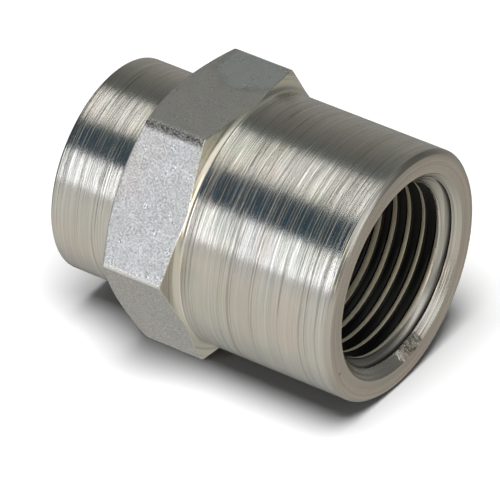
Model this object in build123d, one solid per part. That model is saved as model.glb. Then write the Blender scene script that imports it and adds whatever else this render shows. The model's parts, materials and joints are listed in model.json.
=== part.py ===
from build123d import *
import math
import os

# Reducing coupling for taper pipe thread, turned in one piece from 7/8 in hexagon bar:
# a large round end with a 3/8-18 NPT socket, a hexagon left for the wrench, and a smaller
# round end with a 1/4-18 NPT socket. One through passage joins the two sockets.
#
# Millimetres. +X runs along the bore axis to the large end, +Z is square to one hexagon
# flat, and the origin is on the axis, midway between the two end faces.

os.makedirs("parts", exist_ok=True)

# Outside, along the axis
overall_length = 28.8
large_end_length = 14.83
hexagon_length = 7.09

# Outside, across the axis
across_flats = 22.225
bar_corner_radius = 0.45
large_end_diameter = 22.1
small_end_diameter = 18.85

# Edges and shoulders
large_rim_chamfer_axial = 0.42
large_rim_chamfer_radial = 0.37
small_rim_chamfer = 0.16
large_shoulder_angle = 10.0
small_shoulder_angle = 25.0
large_shoulder_fillet = 0.66
small_shoulder_fillet = 0.2

# Sockets: the crests are the straight drilled wall, and the roots follow the NPT taper
thread_pitch = 25.4 / 18
thread_half_angle = 30.0
thread_root_flat = 0.12
taper_per_length = 1.0 / 32.0
drill_point_half_angle = 59.0
passage_diameter = 10.4

large_socket = {
    "crest_radius": 7.68,
    "root_radius_at_mouth": 8.527,
    "countersink_radius": 9.1,
    "drilled_depth": 12.4,
    "full_thread_depth": 7.6,
    "groove_start_depth": 0.119,
    "groove_start_angle": 158.9,
}
small_socket = {
    "crest_radius": 5.9,
    "root_radius_at_mouth": 6.808,
    "countersink_radius": 7.25,
    "drilled_depth": 10.4,
    "full_thread_depth": 6.6,
    "groove_start_depth": 0.1,
    "groove_start_angle": 120.0,
}

# The tap's tapered lead cuts its last threads shallower and shallower
lead_length = 3.2
lead_inset = 0.012
lead_overlap_angle = 0.6
groove_overhang = 0.15

# How far the revolved outline stands past the hexagon's corners
cutting_clearance = 0.5

large_face_x = overall_length / 2
small_face_x = -overall_length / 2
large_shoulder_x = large_face_x - large_end_length
small_shoulder_x = large_shoulder_x - hexagon_length
large_radius = large_end_diameter / 2
small_radius = small_end_diameter / 2
flat_distance = across_flats / 2
past_corner_radius = flat_distance / math.cos(math.radians(30)) + cutting_clearance


def rounded_at(sketch, x, radius, fillet_radius):
    """Round the profile corner nearest to a point with an arc."""
    corner = sketch.vertices().sort_by_distance((x, radius, 0))[0]
    return fillet(corner, fillet_radius)


def outer_envelope():
    """The turned outside: both round ends and the two coned shoulders of the hexagon."""
    # the fillet reaches the flat a little past the shoulder, so the cone starts behind it
    reach = large_shoulder_fillet * math.tan(math.radians((90 - large_shoulder_angle) / 2))
    drop = flat_distance - large_radius
    reach -= math.sqrt(2 * large_shoulder_fillet * drop)
    cone_x = large_shoulder_x - reach
    corner_rise = past_corner_radius - large_radius
    large_corner_x = cone_x - corner_rise * math.tan(math.radians(large_shoulder_angle))
    cone_rise = past_corner_radius - flat_distance
    small_corner_x = small_shoulder_x + cone_rise * math.tan(math.radians(small_shoulder_angle))
    points = [
        (small_face_x, 0),
        (small_face_x, small_radius - small_rim_chamfer),
        (small_face_x + small_rim_chamfer, small_radius),
        (small_shoulder_x, small_radius),
        (small_shoulder_x, flat_distance),
        (small_corner_x, past_corner_radius),
        (large_corner_x, past_corner_radius),
        (cone_x, large_radius),
        (large_face_x - large_rim_chamfer_axial, large_radius),
        (large_face_x, large_radius - large_rim_chamfer_radial),
        (large_face_x, 0),
    ]
    profile = make_face(Polyline(points, close=True))
    profile = rounded_at(profile, cone_x, large_radius, large_shoulder_fillet)
    profile = rounded_at(profile, small_shoulder_x, small_radius, small_shoulder_fillet)
    return revolve(profile, Axis.X)


def hexagon_bar():
    """The bar stock, with its slightly rounded corners and one flat facing +Z."""
    section = RegularPolygon(flat_distance, 6, major_radius=False)
    section = fillet(section.vertices(), bar_corner_radius)
    start = Plane(origin=(small_face_x, 0, 0), x_dir=(0, 1, 0), z_dir=(1, 0, 0))
    return extrude(start * section, overall_length)


def drilled_passage():
    """Both drilled sockets with their countersinks and drill points, and the passage."""
    slope = math.tan(math.radians(drill_point_half_angle))
    passage_radius = passage_diameter / 2

    def socket_points(face_x, inwards, socket):
        crest = socket["crest_radius"]
        sink = socket["countersink_radius"]
        depths = [
            (0, sink),
            (sink - crest, crest),
            (socket["drilled_depth"], crest),
            (socket["drilled_depth"] + (crest - passage_radius) / slope, passage_radius),
        ]
        return [(face_x + inwards * depth, radius) for depth, radius in depths]

    large = socket_points(large_face_x, -1, large_socket)
    small = socket_points(small_face_x, 1, small_socket)
    points = [(large_face_x, 0)] + large + small[::-1] + [(small_face_x, 0)]
    return revolve(make_face(Polyline(points, close=True)), Axis.X)


def groove_section(root_radius, crest_radius, depth, inset):
    """The 60 degree groove in the plane of the axis, with its open side inside the bore."""
    mouth_radius = crest_radius - groove_overhang
    tip_radius = root_radius - inset
    half_root = thread_root_flat / 2 - inset / 2
    half_mouth = half_root + (tip_radius - mouth_radius) * math.tan(math.radians(thread_half_angle))
    corners = [
        (mouth_radius, 0, depth - half_mouth),
        (tip_radius, 0, depth - half_root),
        (tip_radius, 0, depth + half_root),
        (mouth_radius, 0, depth + half_mouth),
    ]
    return make_face(Polyline(corners, close=True))


def swept_groove(root_radius, crest_radius, depth, length, slope, inset):
    """A right-hand helical groove that runs inwards along +Z while its root changes by slope."""
    section = groove_section(root_radius, crest_radius, depth, inset)
    path = Helix(
        thread_pitch,
        length,
        root_radius,
        center=(0, 0, depth),
        cone_angle=-math.degrees(math.atan(slope)),
    )
    return sweep(section, path=path, is_frenet=True)


def thread_cutters(socket):
    """The full thread and the tap's lead, as two grooves that run into each other."""
    start = socket["groove_start_depth"]
    crest = socket["crest_radius"]
    root_at_start = socket["root_radius_at_mouth"] - start * taper_per_length
    full_length = socket["full_thread_depth"] - start
    full = swept_groove(root_at_start, crest, start, full_length, taper_per_length, 0)

    overlap = thread_pitch * lead_overlap_angle / 360
    lead_start = start + full_length - overlap
    root_at_lead = socket["root_radius_at_mouth"] - lead_start * taper_per_length
    lead_slope = (root_at_lead - crest + groove_overhang / 2) / lead_length
    lead = swept_groove(root_at_lead, crest, lead_start, lead_length, lead_slope, lead_inset)
    lead_turns = (lead_start - start) / thread_pitch
    return full, Rot(0, 0, 360 * lead_turns) * lead


def cut_socket_thread(body, socket, face_x, inwards):
    """Cut one socket's thread, starting at the given angle from +Y towards +Z."""
    angle = math.radians(socket["groove_start_angle"])
    mouth = Plane(
        origin=(face_x, 0, 0),
        x_dir=(0, math.cos(angle), math.sin(angle)),
        z_dir=(inwards, 0, 0),
    )
    for cutter in thread_cutters(socket):
        body = body - mouth.location * cutter
    return body


def coupling_body():
    """The whole coupling, which is a single piece of steel."""
    body = outer_envelope() & hexagon_bar()
    body = body - drilled_passage()
    body = cut_socket_thread(body, large_socket, large_face_x, -1)
    body = cut_socket_thread(body, small_socket, small_face_x, 1)
    return body


export_step(coupling_body(), "parts/coupling_body.step")
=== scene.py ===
import json
import math

import bpy
from mathutils import Matrix, Vector


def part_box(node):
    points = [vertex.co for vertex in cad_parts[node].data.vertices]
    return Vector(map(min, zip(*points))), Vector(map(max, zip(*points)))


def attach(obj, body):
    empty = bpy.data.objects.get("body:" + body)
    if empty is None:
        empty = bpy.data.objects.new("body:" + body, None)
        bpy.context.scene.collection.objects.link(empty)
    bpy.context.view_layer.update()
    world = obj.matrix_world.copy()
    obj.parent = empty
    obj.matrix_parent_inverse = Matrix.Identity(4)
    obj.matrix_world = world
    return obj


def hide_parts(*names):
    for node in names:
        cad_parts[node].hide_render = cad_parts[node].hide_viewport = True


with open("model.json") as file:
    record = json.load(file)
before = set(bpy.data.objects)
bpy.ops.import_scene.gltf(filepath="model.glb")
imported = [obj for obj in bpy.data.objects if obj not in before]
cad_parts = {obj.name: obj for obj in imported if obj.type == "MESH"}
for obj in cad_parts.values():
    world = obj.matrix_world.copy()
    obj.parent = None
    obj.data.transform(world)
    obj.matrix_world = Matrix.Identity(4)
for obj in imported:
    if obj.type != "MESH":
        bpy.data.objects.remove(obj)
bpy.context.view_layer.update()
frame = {"record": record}

# The scene is in metres. Lengths named here are in millimetres and are scaled by MM where
# they are used. Angles round the bore run from +Y towards +Z, in degrees.
MM = 0.001
NODE = "coupling_body"

# ---------------------------------------------------------------- sizes from the frame

low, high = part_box(NODE)
small_face_x = low.x / MM
large_face_x = high.x / MM
flat_distance = high.z / MM
mounts = {mount["name"]: mount for mount in frame["record"]["mounts"]}
large_crest_radius = mounts["large_socket"]["dims"]["r_mm"]
small_crest_radius = mounts["small_socket"]["dims"]["r_mm"]

# ---------------------------------------------------------------- sizes of the object

large_radius = 11.05
small_radius = 9.425
large_shoulder_x = -0.43
small_shoulder_x = -7.52
bar_corner_radius = 0.45
large_rim_axial = 0.42
large_rim_radial = 0.37
small_rim = 0.16
shoulder_fillet = 0.66
large_shoulder_angle = 10.0
small_shoulder_angle = 25.0
small_chamfer_inset = 0.15
passage_radius = 5.2
drill_point_half_angle = 59.0
thread_pitch = 25.4 / 18
thread_half_angle = 30.0
half_root_flat = 0.06
root_taper = 1.0 / 32.0
lead_length = 3.2
crest_break = 0.17

large_socket = {
    "face_x": large_face_x,
    "inwards": -1,
    "crest": large_crest_radius,
    "root_at_mouth": 8.527,
    "sink": 9.1,
    "drilled_depth": 12.4,
    "full_depth": 7.6,
    "start_depth": 0.119,
    "start_angle": 158.9,
}
small_socket = {
    "face_x": small_face_x,
    "inwards": 1,
    "crest": small_crest_radius,
    "root_at_mouth": 6.808,
    "sink": 7.25,
    "drilled_depth": 10.4,
    "full_depth": 6.6,
    "start_depth": 0.1,
    "start_angle": 120.0,
}


# ---------------------------------------------------------------- columns round the axis

def corner_geometry():
    """Where the bar's corner arcs are: their centres' distance and their half angle."""
    centre = (flat_distance - bar_corner_radius) / math.cos(math.radians(30))
    across = bar_corner_radius * math.sin(math.radians(30))
    along = centre + bar_corner_radius * math.cos(math.radians(30))
    return centre, math.degrees(math.atan2(across, along))


def column_angles():
    """Angles of the mesh's columns, close together on the six rounded corners."""
    _, half_arc = corner_geometry()
    arc_steps = 6
    flat_steps = 26
    support = 0.25
    angles = []
    for corner in range(6):
        middle = 60.0 * corner
        arc = [middle + half_arc * (2 * i / arc_steps - 1) for i in range(arc_steps + 1)]
        first = middle + half_arc + support
        last = middle + 60.0 - half_arc - support
        flat = [first + (last - first) * i / flat_steps for i in range(flat_steps + 1)]
        angles += arc + flat
    return angles


def bar_radius(angle):
    """Distance from the axis to the hexagon bar's surface at an angle."""
    centre, half_arc = corner_geometry()
    from_corner = abs((angle + 30.0) % 60.0 - 30.0)
    if from_corner < half_arc:
        gamma = math.radians(from_corner)
        across = centre * math.sin(gamma)
        return centre * math.cos(gamma) + math.sqrt(bar_corner_radius ** 2 - across ** 2)
    return flat_distance / math.cos(math.radians(30.0 - from_corner))


# ---------------------------------------------------------------- the turned outside

def along(start, end, distance):
    """The point at a distance from start towards end."""
    length = math.dist(start, end)
    share = distance / length
    return (start[0] + (end[0] - start[0]) * share, start[1] + (end[1] - start[1]) * share)


def rounded_corner(before, corner, after, distance, steps):
    """A corner of a profile, rounded by a curve that starts and ends at a distance."""
    start = along(corner, before, min(distance, 0.45 * math.dist(corner, before)))
    end = along(corner, after, min(distance, 0.45 * math.dist(corner, after)))
    points = []
    for i in range(steps + 1):
        t = i / steps
        weights = ((1 - t) ** 2, 2 * t * (1 - t), t ** 2)
        points.append(tuple(
            weights[0] * start[k] + weights[1] * corner[k] + weights[2] * end[k]
            for k in range(2)
        ))
    return points


def large_shoulder_curve(top_radius, steps):
    """The large shoulder from a radius down to the round end: a cone, then a fillet."""
    slope = math.radians(large_shoulder_angle)
    tangent = shoulder_fillet * math.tan((math.pi / 2 - slope) / 2)
    drop = flat_distance - large_radius
    cone_x = large_shoulder_x - tangent + math.sqrt(2 * shoulder_fillet * drop)
    centre = (cone_x + tangent, large_radius + shoulder_fillet)
    join_radius = large_radius + tangent * math.cos(slope)
    points = []
    cone_length = max(0.0, (top_radius - join_radius) / math.cos(slope))
    start_radius = min(top_radius, join_radius)
    start_angle = math.acos((centre[1] - start_radius) / shoulder_fillet)
    arc_length = shoulder_fillet * start_angle
    total = cone_length + arc_length
    for i in range(steps + 1):
        travelled = total * i / steps
        if travelled < cone_length:
            radius = top_radius - travelled * math.cos(slope)
            points.append((cone_x - (radius - large_radius) * math.tan(slope), radius))
        else:
            turn = start_angle - (travelled - cone_length) / shoulder_fillet
            points.append((
                centre[0] - shoulder_fillet * math.sin(turn),
                centre[1] - shoulder_fillet * math.cos(turn),
            ))
    return points


def outside_profile(angle):
    """The outside at one angle as (x, radius, region), from the small to the large mouth."""
    top = bar_radius(angle)
    chamfer_slope = math.tan(math.radians(small_shoulder_angle))
    chamfer_start = flat_distance - small_chamfer_inset
    shoulder_steps = 18
    shoulder = large_shoulder_curve(top, shoulder_steps)
    # corners of the profile: x, radius, rounding, steps in the rounding, steps after it, region
    corners = [
        (small_face_x, small_socket["sink"], 0.05, 2, 6, "face"),
        (small_face_x, small_radius - small_rim, 0.05, 2, 1, "rim"),
        (small_face_x + small_rim, small_radius, 0.06, 2, 10, "turned"),
        (small_shoulder_x, small_radius, 0.22, 5, 4, "shoulder"),
        (small_shoulder_x, chamfer_start, 0.05, 2, 4, "shoulder"),
        (small_shoulder_x + (top - chamfer_start) * chamfer_slope, top, 0.10, 4, 8, "flat"),
        (shoulder[0][0], top, 0.07, 4, 0, "shoulder"),
    ]
    outline = [(corner[0], corner[1]) for corner in corners]
    before = [(small_face_x + 1.0, small_socket["sink"] - 1.0)] + outline[:-1]
    after = outline[1:] + [shoulder[2]]
    rows = []
    for i, (x, radius, rounding, steps, after_steps, region) in enumerate(corners):
        bend = rounded_corner(before[i], outline[i], after[i], rounding, steps)
        rows += [(point[0], point[1], region) for point in bend]
        if after_steps:
            nxt = corners[i + 1]
            start = bend[-1]
            end = rounded_corner(
                outline[i], outline[i + 1], after[i + 1], nxt[2], nxt[3]
            )[0]
            for step in range(1, after_steps):
                share = step / after_steps
                rows.append((
                    start[0] + (end[0] - start[0]) * share,
                    start[1] + (end[1] - start[1]) * share,
                    region,
                ))
    rows += [(x, radius, "shoulder") for x, radius in shoulder[2:-1]]
    tail = [
        (shoulder[-1][0], large_radius, 0.0, 0, 14, "turned"),
        (large_face_x - large_rim_axial, large_radius, 0.07, 3, 1, "rim"),
        (large_face_x, large_radius - large_rim_radial, 0.07, 3, 4, "face"),
        (large_face_x, large_socket["sink"], 0.05, 2, 0, "sink"),
    ]
    rows.append((tail[0][0], tail[0][1], "turned"))
    for i in range(3):
        here = tail[i]
        nxt = tail[i + 1]
        beyond = tail[i + 2][:2] if i < 2 else (large_face_x - 1.0, large_socket["sink"] - 1.0)
        bend = rounded_corner(here[:2], nxt[:2], beyond, nxt[2], nxt[3])
        start = rows[-1]
        for step in range(1, here[4]):
            share = step / here[4]
            rows.append((
                start[0] + (bend[0][0] - start[0]) * share,
                start[1] + (bend[0][1] - start[1]) * share,
                here[5],
            ))
        rows += [(point[0], point[1], nxt[5]) for point in bend]
    return rows


# ---------------------------------------------------------------- the threaded sockets

def wall_radius(socket, depth):
    """The drilled wall and its countersink, before the thread is cut."""
    return max(socket["crest"], socket["sink"] - depth)


def root_radius(socket, depth):
    """The thread's root: the NPT taper, and then the tap's lead that runs out of the wall."""
    if depth <= socket["full_depth"]:
        return socket["root_at_mouth"] - depth * root_taper
    at_lead = socket["root_at_mouth"] - socket["full_depth"] * root_taper
    slope = (at_lead - socket["crest"] + 0.075) / lead_length
    return at_lead - (depth - socket["full_depth"]) * slope


def groove_edges(socket, middle, root):
    """Depths where a groove's two flanks meet the wall, or None where it doesn't reach it."""
    t = math.tan(math.radians(thread_half_angle))
    sink, crest = socket["sink"], socket["crest"]
    corner = sink - crest
    if root <= wall_radius(socket, middle + half_root_flat) + 0.004:
        return None
    shallow = middle - half_root_flat - (root - crest) * t
    if shallow < corner:
        shallow = (sink - root + (middle - half_root_flat) / t) / (1 + 1 / t)
        if shallow > middle - half_root_flat:
            shallow = sink - root
    deep = middle + half_root_flat + (root - crest) * t
    if deep < corner:
        deep = (root + (middle + half_root_flat) / t - sink) / (1 / t - 1)
    return shallow, deep


def groove_rows(socket, middle, root):
    """One groove's thirteen points as (depth, radius), from its shallow to its deep edge.

    The crest's edges are rounded by curves with four steps.
    """
    edges = groove_edges(socket, middle, root)
    if edges is None:
        spread = 0.012
        depths = [middle + (k - 6) * spread for k in range(13)]
        return [(depth, wall_radius(socket, depth)) for depth in depths]
    shallow, deep = edges
    brk = min(crest_break, 0.3 * (deep - shallow))
    first_root = max(shallow, middle - half_root_flat)
    shallow_edge = (shallow, wall_radius(socket, shallow))
    deep_edge = (deep, wall_radius(socket, deep))
    cut_by_wall = first_root > middle - half_root_flat
    root_a = (first_root, min(root, shallow_edge[1]) if cut_by_wall else root)
    root_b = (middle + half_root_flat, root)
    if math.dist(shallow_edge, root_a) < 1e-6:
        root_a = along(shallow_edge, root_b, 0.3 * math.dist(shallow_edge, root_b))
    land_a = (shallow - brk, wall_radius(socket, shallow - brk))
    land_b = (deep + brk, wall_radius(socket, deep + brk))
    flank_a = along(shallow_edge, root_a, min(brk, 0.4 * math.dist(shallow_edge, root_a)))
    flank_b = along(deep_edge, root_b, min(brk, 0.4 * math.dist(deep_edge, root_b)))

    def bend(start, corner, end):
        """Three points inside a curve from start to end that a corner pulls on."""
        return [tuple(
            (1 - t) ** 2 * start[i] + 2 * t * (1 - t) * corner[i] + t ** 2 * end[i]
            for i in range(2)
        ) for t in (0.25, 0.5, 0.75)]

    return [
        land_a,
        *bend(land_a, shallow_edge, flank_a),
        flank_a,
        root_a,
        ((root_a[0] + root_b[0]) / 2, (root_a[1] + root_b[1]) / 2),
        root_b,
        flank_b,
        *bend(flank_b, deep_edge, land_b),
        land_b,
    ]


def socket_column(socket, angle):
    """A socket's wall at one angle: [(key, depth, radius, region)] and the turn it starts at."""
    turned = (socket["start_angle"] - angle) * -socket["inwards"]
    turned %= 360.0
    first = socket["start_depth"] + thread_pitch * turned / 360.0
    last_depth = socket["full_depth"] + lead_length
    corner = socket["sink"] - socket["crest"]
    rim_start = 0.04
    rows = []
    count = 0
    grooves = []
    while first + count * thread_pitch < last_depth:
        middle = first + count * thread_pitch
        grooves.append(groove_rows(socket, middle, root_radius(socket, middle)))
        count += 1
    top_steps = 4
    top_end = grooves[0][0][0]
    for i in range(1, top_steps):
        depth = rim_start + (top_end - rim_start) * i / top_steps
        rows.append((("top", i), depth, wall_radius(socket, depth), "sink"))
    for number, groove in enumerate(grooves):
        for k, (depth, radius) in enumerate(groove):
            if 4 <= k < 11:
                region = "thread"
            else:
                region = "sink" if depth < corner else "crest"
            rows.append((("groove", number, k), depth, radius, region))
        if number + 1 < len(grooves):
            land_start = groove[-1][0]
            land_end = grooves[number + 1][0][0]
            margin = 0.2 * (land_end - land_start)
            depth = (land_start + land_end) / 2
            if land_start < corner < land_end:
                depth = min(max(corner, land_start + margin), land_end - margin)
            region = "sink" if depth <= corner else "crest"
            rows.append((("land", number), depth, wall_radius(socket, depth), region))
    bottom_steps = 6
    start = grooves[-1][-1][0]
    end = socket["drilled_depth"] - 0.05
    for i in range(1, bottom_steps + 1):
        depth = start + (end - start) * i / bottom_steps
        rows.append((("bottom", i), depth, socket["crest"], "bore"))
    slope = math.tan(math.radians(drill_point_half_angle))
    point_end = socket["drilled_depth"] + (socket["crest"] - passage_radius) / slope
    cone_steps = 4
    for i in range(cone_steps + 1):
        share = 0.03 + 0.94 * i / cone_steps
        depth = socket["drilled_depth"] + (point_end - socket["drilled_depth"]) * share
        radius = socket["crest"] + (passage_radius - socket["crest"]) * share
        rows.append((("cone", i), depth, radius, "bore"))
    rows.append((("passage", 0), point_end + 0.05, passage_radius, "bore"))
    return rows, turned


# ---------------------------------------------------------------- building the mesh

class Builder:
    """Collects vertices and faces in millimetres, and makes one mesh of them."""

    def __init__(self, regions):
        self.vertices = []
        self.faces = []
        self.face_regions = []
        self.regions = regions

    def vertex(self, x, radius, angle):
        a = math.radians(angle)
        self.vertices.append((x * MM, radius * math.cos(a) * MM, radius * math.sin(a) * MM))
        return len(self.vertices) - 1

    def face(self, corners, region):
        distinct = list(dict.fromkeys(corners))
        if len(distinct) > 2:
            self.faces.append(distinct)
            self.face_regions.append(self.regions.index(region))

    def zip_columns(self, left, right):
        """Faces between two neighbouring columns of (key, vertex, region).

        Rows with the same key are joined by quads. Where a groove starts or ends, only one
        column has its rows, and a fan of triangles closes the gap on the plain wall.
        """
        right_rows = {key: i for i, (key, _, _) in enumerate(right)}
        shared = [(i, right_rows[key]) for i, (key, _, _) in enumerate(left) if key in right_rows]
        for (i, j), (i_next, j_next) in zip(shared, shared[1:]):
            region = left[i][2]
            side_a = [left[k][1] for k in range(i, i_next + 1)]
            side_b = [right[k][1] for k in range(j, j_next + 1)]
            if len(side_a) == 2 and len(side_b) == 2:
                self.face([side_a[0], side_a[1], side_b[1], side_b[0]], region)
                continue
            while len(side_a) > 1 or len(side_b) > 1:
                if len(side_a) >= len(side_b):
                    self.face([side_a[0], side_a[1], side_b[0]], region)
                    side_a.pop(0)
                else:
                    self.face([side_a[0], side_b[1], side_b[0]], region)
                    side_b.pop(0)

    def mesh(self, name):
        made = bpy.data.meshes.new(name)
        made.from_pydata(self.vertices, [], self.faces)
        made.polygons.foreach_set("material_index", self.face_regions)
        made.validate()
        made.shade_smooth()
        made.update()
        return made


def column_of(angle, builder):
    """All rows of one column: outside, large socket, passage and small socket, in a ring."""
    column = []
    for i, (x, radius, region) in enumerate(outside_profile(angle)):
        column.append((("outside", i), builder.vertex(x, radius, angle), region))
    turns = {}
    for name, socket in (("large", large_socket), ("small", small_socket)):
        rows, turned = socket_column(socket, angle)
        made = []
        for key, depth, radius, region in rows:
            x = socket["face_x"] + socket["inwards"] * depth
            made.append(((name, *key), builder.vertex(x, radius, angle), region))
        turns[name] = turned
        column += made if name == "large" else made[::-1]
    column.append((("closing", 0), column[0][1], column[0][2]))
    return column, turns


def renumbered(column, turns, reference):
    """The column with its grooves numbered as the neighbour numbers them across the start."""
    shift = {name: round((turns[name] - reference[name]) / 360.0) for name in turns}
    made = []
    for key, vertex, region in column:
        if key[1] in ("groove", "land"):
            key = (key[0], key[1], key[2] + shift[key[0]], *key[3:])
        made.append((key, vertex, region))
    return made


REGIONS = ["turned", "face", "rim", "shoulder", "flat", "sink", "crest", "thread", "bore"]


def coupling_mesh():
    """The whole coupling as one closed mesh, with every edge slightly rounded."""
    builder = Builder(REGIONS)
    columns = [column_of(angle, builder) for angle in column_angles()]
    for i, (left, left_turns) in enumerate(columns):
        right, right_turns = columns[(i + 1) % len(columns)]
        builder.zip_columns(left, renumbered(right, right_turns, left_turns))
    return builder.mesh("coupling")


# ---------------------------------------------------------------- materials

class Nodes:
    """A short way to write a node tree: every call adds one node and returns its output."""

    def __init__(self, tree):
        self.tree = tree
        self.tree.nodes.clear()

    def add(self, kind, inputs=(), output=0, **settings):
        made = self.tree.nodes.new(kind)
        for name, value in settings.items():
            setattr(made, name, value)
        for key, value in dict(inputs).items():
            socket = made.inputs[key]
            if isinstance(value, bpy.types.NodeSocket):
                self.tree.links.new(value, socket)
            else:
                socket.default_value = value
        return made.outputs[output] if made.outputs else None

    def math(self, operation, a, b=0.0, c=0.0):
        return self.add("ShaderNodeMath", {0: a, 1: b, 2: c}, operation=operation)

    def noise(self, vector, scale, detail=2.0, roughness=0.5):
        inputs = {"Vector": vector, "Scale": scale, "Detail": detail, "Roughness": roughness}
        return self.add("ShaderNodeTexNoise", inputs)

    def remap(self, value, low_in, high_in, low_out, high_out):
        inputs = {0: value, 1: low_in, 2: high_in, 3: low_out, 4: high_out}
        return self.add("ShaderNodeMapRange", inputs, clamp=True)

    def mix_color(self, factor, a, b, blend="MIX"):
        return self.add(
            "ShaderNodeMix", {0: factor, 6: a, 7: b}, output=2, data_type="RGBA", blend_type=blend
        )


def ring_vector(nodes, direction, round_share):
    """A coordinate in millimetres that changes fast across the tool marks and slowly along them.

    direction is "axis" on the round ends, where the marks follow each other along X, and
    "radius" on the faces and cones.
    """
    place = nodes.add("ShaderNodeTexCoord", output=3)
    scaled = nodes.add("ShaderNodeVectorMath", {0: place, 3: 1.0 / MM}, operation="SCALE")
    parts = nodes.add("ShaderNodeSeparateXYZ", {0: scaled})
    split = parts.node.outputs
    if direction == "axis":
        across = split[0]
    else:
        radius = nodes.math("SQRT", nodes.math(
            "ADD", nodes.math("MULTIPLY", split[1], split[1]),
            nodes.math("MULTIPLY", split[2], split[2])
        ))
        across = nodes.math("ADD", radius, nodes.math("MULTIPLY", split[0], 0.35))
    y = nodes.math("MULTIPLY", split[1], round_share)
    z = nodes.math("MULTIPLY", split[2], round_share)
    return nodes.add("ShaderNodeCombineXYZ", {0: across, 1: y, 2: z}), scaled


def finished(material, nodes, color, roughness, normal, **constants):
    """The plated steel shader, with its constants set on its own sockets."""
    inputs = {"Base Color": color, "Metallic": 1.0, "Roughness": roughness, "Normal": normal}
    inputs.update(constants)
    shader = nodes.add("ShaderNodeBsdfPrincipled", inputs)
    nodes.add("ShaderNodeOutputMaterial", {"Surface": shader})
    return material


def new_material(name):
    material = bpy.data.materials.new(name)
    material.use_nodes = True
    return material, Nodes(material.node_tree)


def grey(level, warmth=0.0):
    """A metal colour of one level, with a little less blue for warmth."""
    return (level, level * (1.0 - 0.25 * warmth), level * (1.0 - warmth), 1.0)


def plating_tint(nodes, place, base, amount):
    """The faint pink and green patches that a clear passivate film gives zinc plating."""
    patches = nodes.noise(place, 0.22, 2.0, 0.5)
    patches_b = nodes.noise(nodes.add("ShaderNodeVectorMath", {0: place, 1: (31.0, 7.0, 5.0)}),
                            0.28, 2.0, 0.5)
    pink = nodes.remap(patches, 0.50, 0.66, 0.0, amount)
    green = nodes.remap(patches_b, 0.50, 0.66, 0.0, amount)
    tinted = nodes.mix_color(pink, base, (1.06, 0.96, 0.93, 1.0), "MULTIPLY")
    return nodes.mix_color(green, tinted, (0.94, 1.00, 0.93, 1.0), "MULTIPLY")


def total(nodes, *terms):
    """The sum of (value, weight) pairs."""
    result = None
    for value, weight in terms:
        term = nodes.math("MULTIPLY", value, weight)
        result = term if result is None else nodes.math("ADD", result, term)
    return result


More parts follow.
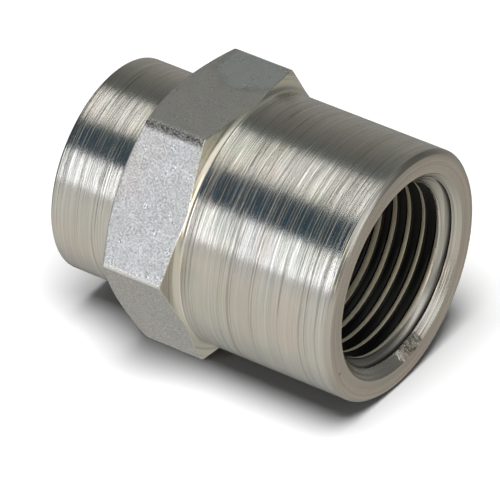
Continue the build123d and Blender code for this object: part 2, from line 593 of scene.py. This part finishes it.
def turned_steel(name, direction, level=0.63, rough=(0.11, 0.22), depth=0.10, grooves=0.010,
                 warmth=0.10, deep_level=None, scuff=None, pit=None, stretch=0.0, dulled=0.93,
                 cast=(1.0, 1.0, 1.0, 1.0)):
    """Bright plated steel with the rings that a lathe tool leaves.

    depth is the height of the fine rings' relief and grooves that of the few deep lines,
    both in millimetres. deep_level is (where it starts, where it is full, the level) of a
    painted shade: the wall beyond the countersink fades to that dark level, and the groove
    roots 8.18 to 8.42 mm from the axis near the mouths are painted near black as shade.
    scuff is the place of a galled patch and pit that of a small dark pit. stretch is how far
    the rings draw a reflection out across themselves, dulled the share of light that the
    duller rings keep, and cast an overall tint.
    """
    material, nodes = new_material(name)
    rings, place = ring_vector(nodes, direction, 0.003)
    arcs, _ = ring_vector(nodes, direction, 0.009)
    fine = nodes.noise(rings, 4.2, 4.0, 0.66)
    broken = nodes.noise(arcs, 3.6, 2.0, 0.55)
    lines = nodes.remap(nodes.noise(arcs, 4.6, 3.0, 0.6), 0.60, 0.65, 0.0, 1.0)
    tone = nodes.noise(rings, 0.8, 3.0, 0.6)
    grain = nodes.noise(place, 9.0, 2.0, 0.6)
    wear = total(nodes, (fine, 0.45), (broken, 0.55))
    roughness = nodes.remap(wear, 0.38, 0.64, rough[0], rough[1])
    base = nodes.mix_color(
        nodes.remap(tone, 0.35, 0.65, 0.0, 1.0), grey(level, warmth * 0.8),
        grey(level * 0.94, warmth * 1.2)
    )
    base = nodes.mix_color(nodes.remap(broken, 0.36, 0.64, 0.0, 1.0), base,
                           (dulled, dulled, dulled, 1.0), "MULTIPLY")
    base = nodes.mix_color(1.0, base, cast, "MULTIPLY")
    base = plating_tint(nodes, place, base, 0.5)
    base = nodes.mix_color(nodes.math("MULTIPLY", lines, 0.3), base, grey(level * 0.28, 0.12))
    height = total(nodes, (fine, depth * MM * 0.7), (broken, depth * MM * 0.3),
                   (lines, -grooves * MM), (grain, 0.004 * MM))
    if deep_level is not None:
        # Painted shade: nearer the part's middle than the given start, deeper in a socket, the
        # colour fades to the dark level.
        x = nodes.add("ShaderNodeSeparateXYZ", {0: place}).node.outputs[0]
        off_centre = nodes.math("ABSOLUTE", x)
        share = nodes.remap(off_centre, *deep_level[:2], 0.0, 1.0)
        base = nodes.mix_color(share, grey(deep_level[2], 0.0), base)
        # Painted shade: near the mouths, the groove roots 8.18 to 8.42 mm from the axis are
        # painted near black.
        radius = nodes.add("ShaderNodeVectorMath", {
            0: nodes.add("ShaderNodeVectorMath", {0: place, 1: (0.0, 1.0, 1.0)},
                         operation="MULTIPLY")}, output=1, operation="LENGTH")
        painted_groove_shade = nodes.math("MULTIPLY", share, nodes.remap(radius, 8.18, 8.42, 0.0, 0.95))
        base = nodes.mix_color(painted_groove_shade, base, grey(0.03, 0.0))
    if scuff is not None:
        away = nodes.add("ShaderNodeVectorMath", {0: place, 1: scuff}, output=1,
                         operation="DISTANCE")
        away = nodes.math("ADD", away, nodes.math("MULTIPLY", nodes.noise(place, 1.6, 3.0), 1.0))
        galled = nodes.remap(away, 1.2, 2.0, 0.8, 0.0)
        rough_grain = nodes.noise(place, 3.6, 4.0, 0.7)
        base = nodes.mix_color(
            nodes.math("MULTIPLY", galled, nodes.remap(rough_grain, 0.45, 0.60, 0.0, 1.0)),
            base, grey(0.12, 0.0))
        height = nodes.math("ADD", height, nodes.math(
            "MULTIPLY", nodes.math("MULTIPLY", galled, rough_grain), 0.5 * MM))
    if pit is not None:
        away = nodes.add("ShaderNodeVectorMath", {0: place, 1: pit}, output=1,
                         operation="DISTANCE")
        base = nodes.mix_color(nodes.remap(away, 0.06, 0.14, 1.0, 0.0), base, grey(0.03, 0.0))
    normal = nodes.add("ShaderNodeBump", {"Strength": 1.0, "Distance": 1.0, "Height": height})
    constants = {}
    if stretch:
        constants["Anisotropic"] = stretch
        constants["Anisotropic Rotation"] = 0.25
        constants["Tangent"] = nodes.add("ShaderNodeTangent", direction_type="RADIAL", axis="X")
    return finished(material, nodes, base, roughness, normal, **constants)


def drawn_steel(name, stain_place=(-3.4, 4.6, 11.1)):
    """The bar's own flats: not machined, with a fine speckled plating grain.

    The top flat is smoother, with a faint water stain.
    """
    material, nodes = new_material(name)
    _, place = ring_vector(nodes, "axis", 0.05)
    split = nodes.add("ShaderNodeSeparateXYZ", {0: place}).node.outputs
    grain = nodes.noise(place, 6.0, 3.0, 0.7)
    mottle = nodes.noise(place, 0.9, 2.0)
    turn = nodes.math("ARCTAN2", split[2], split[1])
    sixth = math.radians(60.0)
    from_corner = nodes.math("ABSOLUTE", nodes.math(
        "SUBTRACT", nodes.math("FRACT", nodes.math(
            "ADD", nodes.math("DIVIDE", turn, sixth), 6.5)), 0.5))
    edge = nodes.remap(nodes.math("ADD", from_corner, nodes.math(
        "MULTIPLY", nodes.math("SUBTRACT", nodes.noise(place, 2.5, 2.0), 0.5), 0.03)),
        0.030, 0.055, 1.0, 0.0)
    upper = nodes.remap(split[2], 7.0, 10.0, 0.0, 1.0)
    front = nodes.remap(split[1], -6.5, -6.2, 1.0, 0.0)
    scuffed = nodes.math("MULTIPLY", nodes.math("MULTIPLY", edge, upper), front)
    worn = nodes.remap(nodes.math("ADD", from_corner, nodes.math(
        "MULTIPLY", nodes.math("SUBTRACT", nodes.noise(place, 4.0, 2.0), 0.5), 0.02)),
        0.008, 0.020, 1.0, 0.0)
    base = nodes.mix_color(
        nodes.remap(grain, 0.36, 0.64, 0.0, 1.0), grey(0.40, 0.02), grey(0.80, 0.02)
    )
    base = plating_tint(nodes, place, base, 0.5)
    top = nodes.remap(split[2], 10.8, 11.05, 0.0, 1.0)
    smooth = nodes.mix_color(nodes.remap(grain, 0.3, 0.7, 0.0, 1.0),
                             grey(0.60, 0.06), grey(0.76, 0.06))
    away = nodes.add("ShaderNodeVectorMath", {0: place, 1: stain_place}, output=1,
                     operation="DISTANCE")
    away = nodes.math("ADD", away, nodes.math("MULTIPLY", nodes.noise(place, 0.5, 3.0), 2.4))
    rim = nodes.math("MULTIPLY", nodes.remap(away, 3.9, 4.3, 0.0, 1.0),
                     nodes.remap(away, 4.3, 4.9, 1.0, 0.0))
    stained = nodes.mix_color(nodes.remap(away, 3.9, 4.6, 1.0, 0.0), smooth,
                              (0.99, 1.06, 1.10, 1.0), "MULTIPLY")
    stained = nodes.mix_color(rim, stained, (0.86, 0.86, 0.84, 1.0), "MULTIPLY")
    base = nodes.mix_color(top, base, stained)
    base = nodes.mix_color(nodes.math("MULTIPLY", worn, 0.6), base, grey(0.88, 0.03))
    base = nodes.mix_color(scuffed, base, nodes.mix_color(
        nodes.remap(grain, 0.45, 0.60, 0.0, 1.0), grey(0.10, 0.0), grey(0.55, 0.0)))
    roughness = nodes.math("SUBTRACT", nodes.remap(mottle, 0.3, 0.7, 0.26, 0.34),
                           nodes.math("MULTIPLY", worn, 0.08))
    height = total(nodes, (grain, 0.05 * MM), (nodes.math("MULTIPLY", scuffed, grain), 0.10 * MM))
    normal = nodes.add("ShaderNodeBump", {"Strength": 1.0, "Distance": 1.0, "Height": height})
    return finished(material, nodes, base, roughness, normal)


def object_materials():
    galled_place = (13.9, 1.9, -8.3)
    return {
        "turned": turned_steel("steel_turned", "axis"),
        "face": turned_steel("steel_face", "radius", rough=(0.22, 0.34), depth=0.06,
                             pit=(14.4, -9.17, -4.31), stretch=0.85, dulled=0.90,
                             cast=(1.08, 1.00, 0.98, 1.0)),
        "rim": turned_steel("steel_rim", "radius", 0.64, (0.12, 0.24), 0.12),
        "shoulder": turned_steel("steel_shoulder", "radius", 0.84, (0.16, 0.28), 0.05,
                                 warmth=0.14),
        "flat": drawn_steel("steel_flat"),
        "sink": turned_steel("steel_countersink", "radius", 0.70, (0.14, 0.26), 0.10,
                             scuff=galled_place),
        # Painted highlight: a brighter, warmer copy of the steel on the thread crests stands in
        # for light they catch.
        "crest": turned_steel("steel_crest", "axis", 0.95, (0.66, 0.78), 0.01, 0.0, 0.18),
        # Painted shade: the thread is painted near black deeper in the sockets and at its groove
        # roots near the mouth.
        "thread": turned_steel("steel_thread", "axis", 0.60, (0.20, 0.30), 0.01, 0.0,
                               deep_level=(12.6, 13.0, 0.015)),
        # Painted shade: the bore and passage get a much darker copy of the steel, for the shade
        # deep inside.
        "bore": turned_steel("steel_bore", "axis", 0.12, (0.3, 0.5), 0.03),
    }


# ---------------------------------------------------------------- the studio

def studio_floor():
    """A plain pale floor just under the lowest flat.

    The metal doesn't mirror it. The surround stands in for it there.
    """
    reach = 3.0
    mesh = bpy.data.meshes.new("studio_floor")
    corners = [(-reach, -reach), (reach, -reach), (reach, reach), (-reach, reach)]
    mesh.from_pydata([(x, y, low.z - 0.02 * MM) for x, y in corners], [], [(0, 1, 2, 3)])
    floor = bpy.data.objects.new("studio_floor", mesh)
    floor.visible_glossy = False
    bpy.context.scene.collection.objects.link(floor)
    material, nodes = new_material("studio_floor")
    shader = nodes.add("ShaderNodeBsdfPrincipled", {
        "Base Color": (0.86, 0.86, 0.86, 1.0), "Roughness": 0.9, "Specular IOR Level": 0.0,
    })
    nodes.add("ShaderNodeOutputMaterial", {"Surface": shader})
    mesh.materials.append(material)


def band_ramp(nodes, turn, bands, scale):
    """A colour ramp round the axis from (angle in degrees, radiance) stops over a full turn."""
    first, last = bands[0][0], bands[-1][0]
    share = nodes.math("DIVIDE", nodes.math("SUBTRACT", turn, math.radians(first)),
                       math.radians(last - first))
    ramp = nodes.add("ShaderNodeValToRGB", {0: nodes.math("FRACT", share)})
    stops = ramp.node.color_ramp.elements
    for i, (angle, color) in enumerate(bands):
        place = (angle - first) / (last - first)
        if i < 2:
            stop = stops[i]
            stop.position = place
        else:
            stop = stops.new(place)
        stop.color = (*[part / scale for part in color], 1.0)
    return ramp


def studio_surround():
    """Soft boxes, dark panels and a white table round the object, seen only in reflections.

    They are bands of light along the bore's axis. A band's place is the angle round the
    axis: 0 is +Y, 90 is up, 180 is -Y and 270 is down. One set of bands is to the side of
    the object, one in front of its large mouth, and a darker one in the gap between them.
    A small warm card stands before the mouth.
    """
    side_bands = [
        (-66.0, (0.38, 0.38, 0.36)),
        (-52.0, (0.16, 0.16, 0.15)),
        (-42.0, (0.10, 0.10, 0.09)),
        (-30.0, (0.26, 0.26, 0.24)),
        (-18.0, (0.37, 0.37, 0.35)),
        (0.0, (0.345, 0.335, 0.31)),
        (20.0, (0.31, 0.305, 0.285)),
        (40.0, (0.235, 0.235, 0.225)),
        (56.0, (0.14, 0.155, 0.155)),
        (66.0, (0.20, 0.23, 0.24)),
        (72.0, (1.95, 1.95, 1.89)),
        (92.0, (2.50, 2.44, 2.40)),
        (104.0, (2.35, 2.27, 2.16)),
        (112.5, (0.01, 0.05, 0.09)),
        (141.0, (0.0, 0.045, 0.11)),
        (146.0, (3.20, 3.26, 3.42)),
        (173.0, (3.30, 3.36, 3.57)),
        (178.0, (0.76, 0.76, 0.76)),
        (194.0, (0.88, 0.87, 0.84)),
        (236.0, (0.80, 0.775, 0.72)),
        (254.0, (0.74, 0.72, 0.67)),
        (272.0, (0.54, 0.54, 0.51)),
        (294.0, (0.42, 0.42, 0.41)),
    ]
    mouth_bands = [
        (-66.0, (0.40, 0.39, 0.36)),
        (-40.0, (0.45, 0.44, 0.40)),
        (0.0, (0.18, 0.18, 0.17)),
        (21.0, (0.12, 0.12, 0.12)),
        (40.0, (0.14, 0.14, 0.13)),
        (52.0, (0.26, 0.26, 0.25)),
        (70.0, (0.38, 0.38, 0.36)),
        (80.0, (1.05, 1.06, 1.04)),
        (114.0, (1.02, 1.01, 0.98)),
        (128.0, (0.70, 0.70, 0.69)),
        (148.0, (0.30, 0.30, 0.295)),
        (170.0, (0.25, 0.255, 0.25)),
        (182.0, (0.32, 0.315, 0.30)),
        (192.0, (0.64, 0.61, 0.57)),
        (234.0, (0.62, 0.595, 0.55)),
        (250.0, (0.60, 0.575, 0.53)),
        (272.0, (0.44, 0.43, 0.39)),
        (294.0, (0.38, 0.37, 0.34)),
    ]
    gap_bands = [
        (-66.0, (0.32, 0.32, 0.30)),
        (40.0, (0.24, 0.24, 0.23)),
        (64.0, (0.14, 0.15, 0.15)),
        (112.0, (0.05, 0.09, 0.12)),
        (141.0, (0.03, 0.08, 0.13)),
        (174.0, (0.24, 0.25, 0.27)),
        (180.0, (0.66, 0.65, 0.62)),
        (254.0, (0.58, 0.56, 0.52)),
        (272.0, (0.42, 0.42, 0.39)),
        (294.0, (0.36, 0.36, 0.34)),
    ]
    world = bpy.data.worlds.new("studio")
    bpy.context.scene.world = world
    world.use_nodes = True
    nodes = Nodes(world.node_tree)
    direction = nodes.add("ShaderNodeTexCoord", output=0)
    split = nodes.add("ShaderNodeSeparateXYZ", {0: direction}).node.outputs
    turn = nodes.math("ARCTAN2", split[2], split[1])
    scale = 3.6
    side = band_ramp(nodes, turn, side_bands, scale)
    gap = band_ramp(nodes, turn, gap_bands, scale)
    mouth = band_ramp(nodes, turn, mouth_bands, scale)
    # how far a direction leans towards the large end: where one set gives way to the next
    along_bore = split[0]
    behind_small_end = (-0.90, -0.75)
    soft_box_end = (-0.63, -0.54)
    side_to_gap = (-0.36, -0.26)
    gap_to_mouth = (-0.02, 0.12)
    left_end = nodes.remap(along_bore, *soft_box_end, 0.0, 1.0)
    above = nodes.remap(split[2], 0.0, 0.1, 0.0, 1.0)
    dim = (0.12 / scale, 0.12 / scale, 0.11 / scale, 1.0)
    past_left_end = nodes.math("MULTIPLY", nodes.math("SUBTRACT", 1.0, left_end), above)
    seen = nodes.mix_color(past_left_end, side, dim)
    seen = nodes.mix_color(nodes.remap(along_bore, *side_to_gap, 0.0, 1.0), seen, gap)
    seen = nodes.mix_color(nodes.remap(along_bore, *gap_to_mouth, 0.0, 1.0), seen, mouth)
    seen = nodes.mix_color(nodes.remap(along_bore, *behind_small_end, 1.0, 0.0), seen,
                           (0.02, 0.02, 0.02, 1.0))
    card = (1.9 / scale, 1.72 / scale, 1.44 / scale, 1.0)
    around = nodes.math("MODULO", nodes.math("ADD", turn, 2.0 * math.pi), 2.0 * math.pi)
    on_card = nodes.math(
        "MULTIPLY",
        nodes.math("MULTIPLY", nodes.remap(along_bore, 0.22, 0.28, 0.0, 1.0),
                   nodes.remap(along_bore, 0.62, 0.68, 1.0, 0.0)),
        nodes.math("MULTIPLY",
                   nodes.remap(around, math.radians(122.0), math.radians(127.0), 0.0, 1.0),
                   nodes.remap(around, math.radians(172.0), math.radians(178.0), 1.0, 0.0)))
    seen = nodes.mix_color(on_card, seen, card)
    black = (0.0, 0.0, 0.0, 1.0)
    overhead = (0.12 / scale, 0.12 / scale, 0.12 / scale, 1.0)
    dome = nodes.mix_color(nodes.remap(split[2], 0.20, 0.55, 0.0, 1.0), black, overhead)
    path = nodes.add("ShaderNodeLightPath").node.outputs
    backdrop = (0.90 / scale, 0.90 / scale, 0.90 / scale, 1.0)
    shown = nodes.mix_color(path["Is Camera Ray"], seen, backdrop)
    shown = nodes.mix_color(nodes.math("MINIMUM", path["Diffuse Depth"], 1.0), shown, dome)
    background = nodes.add("ShaderNodeBackground", {"Color": shown, "Strength": scale})
    nodes.add("ShaderNodeOutputWorld", {"Surface": background})


def floor_light():
    """A large soft box above and in front, which lights the floor and casts the shadow."""
    width = 0.25
    power = 2.0
    place = Vector((0.035, -0.105, 0.34))
    data = bpy.data.lights.new("overhead", "AREA")
    data.shape = "DISK"
    data.size = width
    data.energy = power
    light = bpy.data.objects.new("overhead", data)
    light.location = place
    aim = -place
    light.rotation_euler = aim.to_track_quat("-Z", "Y").to_euler()
    light.visible_glossy = False
    bpy.context.scene.collection.objects.link(light)


def studio_camera():
    """The long-lens view of the large mouth, from the front and above."""
    azimuth = math.radians(33.51)
    elevation = math.radians(35.25)
    roll = math.radians(0.95)
    distance = 0.49847
    aim = Vector((0.36, -1.53, -2.085)) * MM
    back = Vector((
        math.sin(azimuth) * math.cos(elevation),
        -math.cos(azimuth) * math.cos(elevation),
        math.sin(elevation),
    ))
    right = Vector((math.cos(azimuth), math.sin(azimuth), 0.0))
    up = back.cross(right)
    turned_right = right * math.cos(roll) + up * math.sin(roll)
    turned_up = back.cross(turned_right)
    data = bpy.data.cameras.new("camera")
    data.sensor_width = 36.0
    data.lens = 432.0
    data.clip_start = 0.01
    data.clip_end = 50.0
    camera = bpy.data.objects.new("camera", data)
    axes = Matrix((turned_right, turned_up, back)).transposed().to_4x4()
    camera.matrix_world = Matrix.Translation(aim + back * distance) @ axes
    bpy.context.scene.collection.objects.link(camera)
    bpy.context.scene.camera = camera


# ---------------------------------------------------------------- putting it together

coupling = bpy.data.objects.new("coupling", coupling_mesh())
bpy.context.scene.collection.objects.link(coupling)
materials = object_materials()
for region in REGIONS:
    coupling.data.materials.append(materials[region])
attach(coupling, "root")
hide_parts(NODE)

studio_floor()
studio_surround()
floor_light()
studio_camera()
bpy.context.scene.view_settings.view_transform = "Standard"
